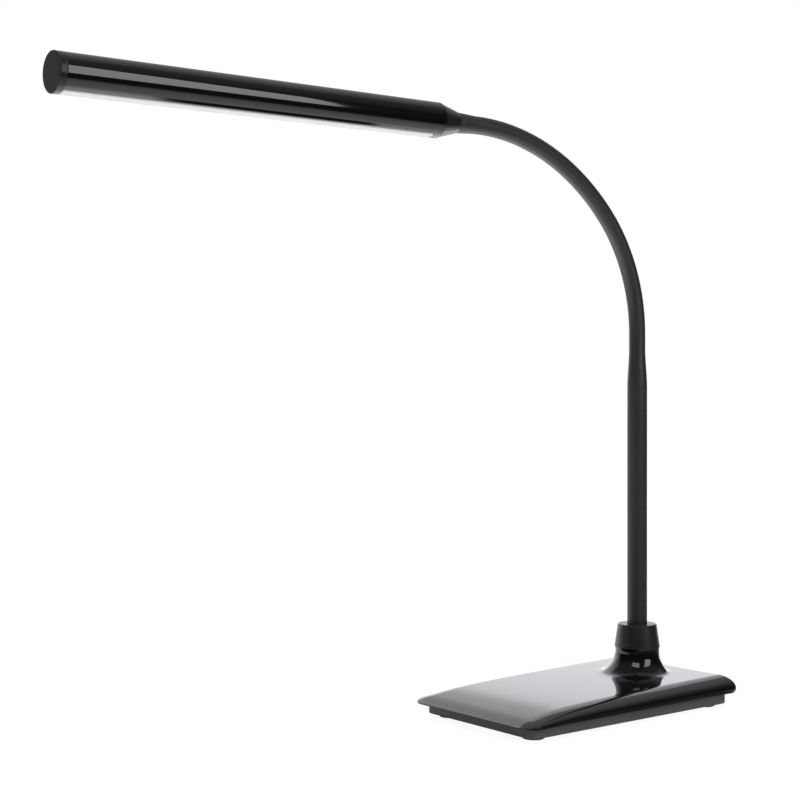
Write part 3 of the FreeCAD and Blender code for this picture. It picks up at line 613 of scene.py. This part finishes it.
def cover_inside(angle):
    """The hollow side in one direction, from the lip to the flare's top."""
    c, s = math.cos(angle), math.sin(angle)

    def ceiling(radius):
        lowest = COVER_BOTTOM + COVER_BOTTOM_EDGE
        return max(lowest, cover_top(c * radius, s * radius) - COVER_WALL)

    inner_edge = outline_reach(angle, COVER_WALL)
    foot_radius = FLARE_POINTS[0][0]
    foot_inside = skewed(foot_radius, c) - FLARE_WALL
    line = [(inner_edge, COVER_BOTTOM)]
    line += [(radius, ceiling(radius)) for radius in spaced(inner_edge, foot_inside, HOLLOW_STEPS)]
    floor_level = ceiling(foot_inside) + COVER_BOTTOM_EDGE
    for radius, height in reversed(flare_arc(FLARE_INSIDE_STEPS)):
        if radius < foot_radius - COVER_BOTTOM_EDGE:
            line.append((skewed(radius, c) - FLARE_WALL, max(height, floor_level)))
    return line


def cover_line(angle):
    """The cover's section in one direction, as a closed line of (radius, height)."""
    outside = cover_outside(angle)
    return outside + cover_wall(angle, *outside[-1]) + cover_inside(angle)


def base_cover(material):
    """Glossy top shell with its flare, remade with fine rolled edges."""
    lines = []
    for k in range(COVER_DIRECTIONS):
        angle = 2 * math.pi * k / COVER_DIRECTIONS
        lines.append([(r * math.cos(angle), r * math.sin(angle), z) for r, z in cover_line(angle)])
    points = [p for line in lines for p in line]
    faces = ring_faces(COVER_DIRECTIONS, len(lines[0]), True)
    piece = mesh_object("cover_shell", points, faces, material)
    smooth(piece, COVER_SMOOTH_ANGLE)
    bore_socket(piece)
    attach(piece, "root")
    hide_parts("base_cover")


def bore_socket(piece):
    """Cuts the hole for the supply socket through the cover's rear end."""
    sides = JACK_HOLE_SIDES
    points = []
    for x in (COVER_REAR - JACK_HOLE_REACH, COVER_REAR + JACK_HOLE_REACH):
        for k in range(sides):
            angle = 2 * math.pi * k / sides
            y = JACK_HOLE_RADIUS * math.cos(angle)
            points.append((x, y, JACK_HEIGHT + JACK_HOLE_RADIUS * math.sin(angle)))
    faces = ring_faces(2, sides, False)
    faces += [list(range(sides)), list(range(2 * sides - 1, sides - 1, -1))]
    drill = mesh_object("drill", points, [face[::-1] for face in faces], piece.data.materials[0])
    smooth(drill)
    cut = piece.modifiers.new("socket", "BOOLEAN")
    cut.operation = "DIFFERENCE"
    cut.solver = "EXACT"
    cut.object = drill
    apply_modifiers(piece)
    bpy.data.objects.remove(drill)


# Neck


def neck_ring(centre, heading, radius):
    """A ring of points square to the neck."""
    side = inward(heading)
    ring = []
    for k in range(NECK_SIDES):
        angle = 2 * math.pi * k / NECK_SIDES
        ring.append(centre + side * (radius * math.cos(angle)) + ACROSS * (radius * math.sin(angle)))
    return ring


def upright(height):
    """(centre, heading, radius) on the sleeve's upright part."""
    t = eased((height - TAPER_START) / (TAPER_END - TAPER_START))
    return Vector((0, 0, height)), 0.0, LOWER_RADIUS + (SLEEVE_RADIUS - LOWER_RADIUS) * t


def link_stretch(a, b, share_from, share_to):
    """(centre, heading, radius) along the bend between two hinges."""
    (place, heading), (there, next_heading) = a, b
    turn = next_heading - heading
    bend = (there - place).length / 2 / math.sin(turn / 2)
    hub = place + inward(heading) * bend
    steps = max(2, round(abs(share_to - share_from) * bend * turn / NECK_STEP))
    stations = []
    for share in spaced(share_from, share_to, steps):
        angle = heading + turn * share
        stations.append((hub - inward(angle) * bend, angle, SLEEVE_RADIUS))
    return stations


def sleeve_end(place, heading):
    """(centre, heading, radius) from the last hinge to the head."""
    stations = []
    for share in spaced(0.0, 1.0, LAST_STEPS):
        radius = SLEEVE_RADIUS + (SLEEVE_END_RADIUS - SLEEVE_RADIUS) * eased(share)
        stations.append((place + ahead(heading) * NECK_END * share, heading, radius))
    return stations


def sleeve_piece(name, stations, material):
    """A closed tube through stations of (centre, heading, radius)."""
    rings = [neck_ring(*station) for station in stations]
    rings += [neck_ring(centre, heading, SLEEVE_BORE) for centre, heading, _ in reversed(stations)]
    points = [p for ring in rings for p in ring]
    piece = mesh_object(name, points, ring_faces(len(rings), NECK_SIDES, True), material)
    smooth(piece)
    return piece


def stout_sleeve(material):
    """The sleeve's rigid part, up to half a link below the first hinge."""
    heights = spaced(LOWER_START, HINGES[0][0].z - HALF_LINK, STOUT_STEPS)
    stout = sleeve_piece("neck_stout_part", [upright(height) for height in heights], material)
    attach(stout, "root")
    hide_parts("lower_sleeve")


def sleeve_over(k, material):
    """The stretch of sleeve over hinge k, half a link to each side, curved round the bend."""
    place, heading = HINGES[k]
    if k == 0:
        first = place.z - HALF_LINK
        stations = [upright(first + HALF_LINK * j / FIRST_STEPS) for j in range(FIRST_STEPS)]
    else:
        stations = link_stretch(HINGES[k - 1], HINGES[k], 0.5, 1.0)[:-1]
    if k < LINKS:
        stations += link_stretch(HINGES[k], HINGES[k + 1], 0.0, 0.5)
        node = "link_%d_sleeve" % (k + 1)
    else:
        stations += sleeve_end(place, heading)
        node = "head_sleeve"
    piece = sleeve_piece("neck_stretch_%d" % (k + 1), stations, material)
    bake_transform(piece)
    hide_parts(node)


def neck(material):
    """The sleeve: a stout rigid part, then a curved stretch over each hinge."""
    stout_sleeve(material)
    for k in range(LINKS + 1):
        sleeve_over(k, material)


# Head


def head_sheet(name, radius, stations, angles, material, closed=False, skip=None):
    """A curved sheet about the head's axis. Angles run from the underside; skip leaves out faces."""
    start, axis = head_place()
    down = -axis.cross(ACROSS).normalized()
    used = angles[:-1] if closed else angles
    points = []
    for u in stations:
        for angle in used:
            a = math.radians(angle)
            arm = down * math.cos(a) + ACROSS * math.sin(a)
            points.append(start + axis * u + arm * radius)
    count = len(used)
    faces = []
    for i in range(len(stations) - 1):
        for j in range(len(angles) - 1):
            if skip and skip((stations[i] + stations[i + 1]) / 2, (angles[j] + angles[j + 1]) / 2):
                continue
            k = (j + 1) % count
            faces.append((i * count + j, i * count + k, (i + 1) * count + k, (i + 1) * count + j))
    piece = mesh_object(name, points, faces, material)
    smooth(piece)
    return piece


def thicken(piece, wall):
    """Gives a sheet its wall, inwards."""
    solid = piece.modifiers.new("wall", "SOLIDIFY")
    solid.thickness = wall
    solid.offset = -1


def soften(piece):
    """Rounds the piece's sharp edges a little."""
    bevel = piece.modifiers.new("edges", "BEVEL")
    bevel.width = EDGE
    bevel.segments = EDGE_SEGMENTS
    bevel.limit_method = "ANGLE"
    bevel.angle_limit = math.radians(EDGE_FROM_ANGLE)
    bevel.harden_normals = True


def finish_head_piece(piece, node, wall):
    """Gives a sheet of the head its wall and edges, hangs it on the head's body and hides the CAD
    node it replaces.
    """
    thicken(piece, wall)
    soften(piece)
    apply_modifiers(piece)
    smooth(piece)
    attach(piece, "head")
    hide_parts(node)


def head_housing(material):
    """Glossy tube with the light opening along its underside."""
    angles = spaced(-SLOT_HALF_ANGLE, SLOT_HALF_ANGLE, SLOT_STEPS)
    angles += spaced(SLOT_HALF_ANGLE, 360 - SLOT_HALF_ANGLE, HEAD_SIDES - SLOT_STEPS)[1:]
    stations = [CONE_LENGTH, CONE_LENGTH + SUPPORT, SLOT_START - SUPPORT, SLOT_START]
    stations += spaced(SLOT_START + SUPPORT, HOUSING_END - SUPPORT, HEAD_STEPS) + [HOUSING_END]
    piece = head_sheet(
        "housing_tube",
        HEAD_RADIUS,
        stations,
        angles,
        material,
        closed=True,
        skip=lambda u, angle: u > SLOT_START and abs(angle) < SLOT_HALF_ANGLE,
    )
    finish_head_piece(piece, "head_housing", HEAD_WALL)


def diffuser(material):
    """Opal strip that fills the light opening."""
    gap = math.degrees(SLOT_GAP / HEAD_RADIUS)
    angles = spaced(-SLOT_HALF_ANGLE + gap, SLOT_HALF_ANGLE - gap, SLOT_STEPS)
    first, last = SLOT_START + SLOT_GAP, HOUSING_END - SLOT_GAP / 2
    stations = [first] + spaced(first + SUPPORT, last - SUPPORT, HEAD_STEPS) + [last]
    radius = HEAD_RADIUS - DIFFUSER_SET_BACK
    piece = head_sheet("diffuser_strip", radius, stations, angles, material)
    finish_head_piece(piece, "diffuser", DIFFUSER_WALL)


# Studio


def stage_mesh(name, points, faces, material, camera_sees=True):
    """A piece of the studio, which isn't part of the object."""
    thing = mesh_object(name, points, faces, material)
    thing.visible_camera = camera_sees


def glow(name, strength):
    """Plain light-giving material, with the node that gives the light."""
    material, nodes, links, surface = empty_material(name)
    emission = nodes.new("ShaderNodeEmission")
    emission.inputs["Strength"].default_value = strength
    links.new(emission.outputs["Emission"], surface)
    return material, emission


# Floor, as the camera sees it and as it lights the object
FLOOR_REACH = 6.0
FLOOR_LEVEL = -0.2 * MM
FLOOR_WHITE = 0.93
FLOOR_SHADOW = 0.12
FLOOR_BOUNCE = 0.85

# Floor in the object's gloss, a painted reflection: a painted pool of light along y, brighter at
# first, with pairs as from and to
SHEET_Y = (0.08, 0.62)
SHEET_GLOW = 1.5
SHEET_EDGE_GLOW = 0.85
SHEET_EDGE = 0.02
SHEET_MIDDLE_Y = (0.02, 0.13)
SHEET_MIDDLE_GLOW = 2.0
FLOOR_DIM_GLOW = 0.08

# Floor in the object's gloss: painted shadow under and around the base
BASE_SHADE_NEAR = (0.082, 0.1)
BASE_SHADE_FAR = (-0.08, -0.065)
BASE_SHADE_FRONT = (0.17, 0.19)
BASE_SHADE_REAR = (-0.07, -0.05)

# Floor in the object's gloss: painted shade where the ray grazes it, which leaves this much of its
# glow
GRAZING = (0.45, 0.75)
GRAZING_GLOW = 0.07
GRAZING_BACK_GLOW = 0.5
GRAZING_BEHIND = (-0.10, -0.03)
GRAZING_BEYOND = (-1.3, -0.9)


def painted_sheet_glow(nodes, links):
    """How strong the floor's painted reflection is in the object's gloss, from place to place, with
    painted shade under the base and where rays graze it.
    """
    place = nodes.new("ShaderNodeNewGeometry").outputs["Position"]
    x, y, _ = axes(nodes, links, place)
    # Painted pool of light: the floor's glow in gloss falls off along y
    level = ramp(nodes, links, y, *SHEET_Y, SHEET_GLOW, SHEET_EDGE_GLOW)
    middle = ramp(nodes, links, y, *SHEET_MIDDLE_Y, SHEET_MIDDLE_GLOW, 1.0)
    edge = ramp(nodes, links, y, SHEET_Y[1], SHEET_Y[1] + SHEET_EDGE, 1.0, FLOOR_DIM_GLOW)
    facing = nodes.new("ShaderNodeLayerWeight").outputs["Facing"]
    steep = ramp(nodes, links, facing, *GRAZING, 1.0, GRAZING_GLOW)
    behind = ramp(nodes, links, y, *GRAZING_BEHIND, GRAZING_BACK_GLOW, GRAZING_GLOW)
    beyond = ramp(nodes, links, y, *GRAZING_BEYOND, GRAZING_GLOW, 1.0)
    links.new(product(nodes, links, behind, beyond), steep.node.inputs["To Max"])
    # Painted shadow: the floor's glow in gloss is dimmed in a box round the base
    near = ramp(nodes, links, y, *BASE_SHADE_NEAR, 1.0, 0.0)
    far = ramp(nodes, links, y, *BASE_SHADE_FAR, 0.0, 1.0)
    front = ramp(nodes, links, x, *BASE_SHADE_FRONT, 1.0, 0.0)
    rear = ramp(nodes, links, x, *BASE_SHADE_REAR, 0.0, 1.0)
    shaded = product(nodes, links, near, far, front, rear)
    clear = ramp(nodes, links, shaded, 0.0, 1.0, 1.0, FLOOR_DIM_GLOW)
    return product(nodes, links, level, edge, middle, steep, clear)


def shader_choice(nodes, links, share, one, other):
    """The other shader where the share is 1, and the one elsewhere."""
    choice = nodes.new("ShaderNodeMixShader")
    links.new(share, choice.inputs["Fac"])
    links.new(one, choice.inputs[1])
    links.new(other, choice.inputs[2])
    return choice.outputs["Shader"]


def matt(nodes, level):
    """A grey matt shader."""
    diffuse = nodes.new("ShaderNodeBsdfDiffuse")
    diffuse.inputs["Color"].default_value = (level, level, level, 1.0)
    return diffuse.outputs["BSDF"]


def floor_material():
    """White floor that keeps a soft shadow. Gloss sees a painted reflection of a lit sheet under the
    head.
    """
    material, nodes, links, surface = empty_material("floor_white")
    path = nodes.new("ShaderNodeLightPath")
    lit = nodes.new("ShaderNodeEmission")
    lit.inputs["Strength"].default_value = FLOOR_WHITE
    seen = nodes.new("ShaderNodeAddShader")
    links.new(matt(nodes, FLOOR_SHADOW), seen.inputs[0])
    links.new(lit.outputs["Emission"], seen.inputs[1])
    mirrored = nodes.new("ShaderNodeEmission")
    links.new(painted_sheet_glow(nodes, links), mirrored.inputs["Strength"])
    glossy, to_camera = path.outputs["Is Glossy Ray"], path.outputs["Is Camera Ray"]
    bounced = matt(nodes, FLOOR_BOUNCE)
    unseen = shader_choice(nodes, links, glossy, bounced, mirrored.outputs["Emission"])
    links.new(shader_choice(nodes, links, to_camera, unseen, seen.outputs["Shader"]), surface)
    return material


def floor():
    """One large sheet, a hair below the desk's level."""
    signs = ((-1, -1), (1, -1), (1, 1), (-1, 1))
    points = [(x * FLOOR_REACH, y * FLOOR_REACH, FLOOR_LEVEL) for x, y in signs]
    stage_mesh("floor", points, [(0, 1, 2, 3)], floor_material())


# World. In gloss it is brighter higher up, and a share of that to the left (+X) and near (+Y)
WORLD_FILL = 0.65
WORLD_SIDE_GLOSS = 0.07
WORLD_TOP_GLOSS = 0.6
WORLD_RISE = (0.3, 0.7)
WORLD_LEFT_X = (-0.1, 0.15)
WORLD_LEFT_SHARE = 0.3
WORLD_NEAR_Y = (0.05, 0.35)
WORLD_NEAR_SHARE = 0.35


def number_choice(nodes, links, share, one, other):
    """The other number where the share is 1, and the one elsewhere. Either may be a socket."""
    choice = nodes.new("ShaderNodeMix")
    links.new(share, choice.inputs["Factor"])
    for name, value in (("A", one), ("B", other)):
        if isinstance(value, float):
            choice.inputs[name].default_value = value
        else:
            links.new(value, choice.inputs[name])
    return choice.outputs["Result"]


def world():
    """White to the camera, a plain fill for the object, and a dim studio to its gloss."""
    sky = bpy.data.worlds.new("studio")
    bpy.context.scene.world = sky
    sky.use_nodes = True
    nodes, links = sky.node_tree.nodes, sky.node_tree.links
    nodes.clear()
    out = nodes.new("ShaderNodeOutputWorld")
    path = nodes.new("ShaderNodeLightPath")
    place = nodes.new("ShaderNodeTexCoord").outputs["Generated"]
    x, y, z = axes(nodes, links, place)
    rise = ramp(nodes, links, z, *WORLD_RISE, WORLD_SIDE_GLOSS, WORLD_TOP_GLOSS, smoothed=True)
    side = ramp(nodes, links, x, *WORLD_LEFT_X, 1.0, WORLD_LEFT_SHARE)
    near = ramp(nodes, links, y, *WORLD_NEAR_Y, 1.0, WORLD_NEAR_SHARE)
    in_gloss = product(nodes, links, rise, product(nodes, links, side, near))
    unseen = number_choice(nodes, links, path.outputs["Is Glossy Ray"], WORLD_FILL, in_gloss)
    strength = number_choice(nodes, links, path.outputs["Is Camera Ray"], unseen, 1.0)
    light = nodes.new("ShaderNodeBackground")
    light.inputs["Color"].default_value = (1.0, 1.0, 1.0, 1.0)
    links.new(strength, light.inputs["Strength"])
    links.new(light.outputs["Background"], out.inputs["Surface"])


def around(azimuth, distance, height):
    """A place round the lamp. Azimuth 0 is towards the camera and 90 to its right."""
    a = math.radians(azimuth)
    flat = -CAMERA_AHEAD * math.cos(a) + CAMERA_RIGHT * math.sin(a)
    return Vector((flat.x * distance, flat.y * distance, height))


# Backdrop. Its glow changes between two heights, and fades out from one azimuth to its last
BACKDROP_DISTANCE = 2.0
BACKDROP_BOTTOM = -0.01
BACKDROP_TOP = 1.65
BACKDROP_GLOW = 1.95
BACKDROP_TOP_GLOW = 1.4
BACKDROP_COLOUR = (0.955, 0.972, 1.0)
BACKDROP_FADE_HEIGHTS = (0.55, 0.85)
BACKDROP_FIRST = 150.0
BACKDROP_LAST = 260.0
BACKDROP_SIDE_FADE = 222.0
BACKDROP_STEPS = 54


def backdrop():
    """Bright paper behind the lamp, seen only in its gloss, that fades upwards."""
    points = []
    for azimuth in spaced(BACKDROP_FIRST, BACKDROP_LAST, BACKDROP_STEPS):
        points.append(around(azimuth, BACKDROP_DISTANCE, BACKDROP_BOTTOM))
        points.append(around(azimuth, BACKDROP_DISTANCE, BACKDROP_TOP))
    faces = [(2 * k, 2 * k + 1, 2 * k + 3, 2 * k + 2) for k in range(BACKDROP_STEPS)]
    material, emission = glow("backdrop_glow", BACKDROP_GLOW)
    nodes, links = material.node_tree.nodes, material.node_tree.links
    emission.inputs["Color"].default_value = (*BACKDROP_COLOUR, 1.0)
    place = nodes.new("ShaderNodeNewGeometry").outputs["Position"]
    _, _, z = axes(nodes, links, place)
    glows = (BACKDROP_GLOW, BACKDROP_TOP_GLOW)
    upwards = ramp(nodes, links, z, *BACKDROP_FADE_HEIGHTS, *glows, smoothed=True)
    towards = along(nodes, links, place, around(0.0, 1.0, 0.0))
    edges = [
        BACKDROP_DISTANCE * math.cos(math.radians(azimuth))
        for azimuth in (BACKDROP_SIDE_FADE, BACKDROP_LAST)
    ]
    sideways = ramp(nodes, links, towards, *edges, 1.0, 0.0)
    links.new(product(nodes, links, upwards, sideways), emission.inputs["Strength"])
    stage_mesh("backdrop", points, faces, material, camera_sees=False)


# Softboxes, which show as windows and bands in the object's gloss
SIDE_BOX_CORNERS = ((0.10, 0.90, 0.33), (0.06, 0.90, 1.13), (-0.45, 1.05, 0.90), (-0.45, 1.05, 0.33))
SIDE_BOX_STRENGTH = 4.2
KEY_BOX_AZIMUTH = -16.0
KEY_BOX_DISTANCE = 1.15
KEY_BOX_HEIGHT = 1.3
KEY_BOX_HALF_WIDTH = 0.42
KEY_BOX_RISE = 0.21
KEY_BOX_STRENGTH = 3.4


def softbox(name, corners, strength):
    """A four-cornered light that only the object sees."""
    material, _ = glow(name + "_glow", strength)
    stage_mesh(name, corners, [(0, 1, 2, 3)], material, camera_sees=False)


def lights():
    """The backdrop, a softbox beside the lamp, and a high one that leans over it."""
    backdrop()
    softbox("side_softbox", SIDE_BOX_CORNERS, SIDE_BOX_STRENGTH)
    centre = around(KEY_BOX_AZIMUTH, KEY_BOX_DISTANCE, KEY_BOX_HEIGHT)
    wide = CAMERA_RIGHT * KEY_BOX_HALF_WIDTH
    rise = (CAMERA_HEADING + UP) * KEY_BOX_RISE
    corners = [centre - wide - rise, centre + wide - rise, centre + wide + rise, centre - wide + rise]
    softbox("key_softbox", corners, KEY_BOX_STRENGTH)


def camera():
    """The photograph's camera, which looks level along its heading."""
    data = bpy.data.cameras.new("camera")
    data.sensor_width = SENSOR_WIDTH_MM
    data.lens = FOCAL_PIXELS / IMAGE_WIDTH * SENSOR_WIDTH_MM
    eye = bpy.data.objects.new("camera", data)
    bpy.context.scene.collection.objects.link(eye)
    eye.location = CAMERA_PLACE
    eye.rotation_euler = CAMERA_AHEAD.to_track_quat("-Z", "Y").to_euler()
    bpy.context.scene.camera = eye


materials = make_materials()
dress_frame(materials)
base_cover(materials["gloss_black"])
neck(materials["sleeve_black"])
head_housing(materials["gloss_black"])
diffuser(materials["opal"])
camera()
world()
floor()
lights()
bpy.context.scene.view_settings.view_transform = "Standard"
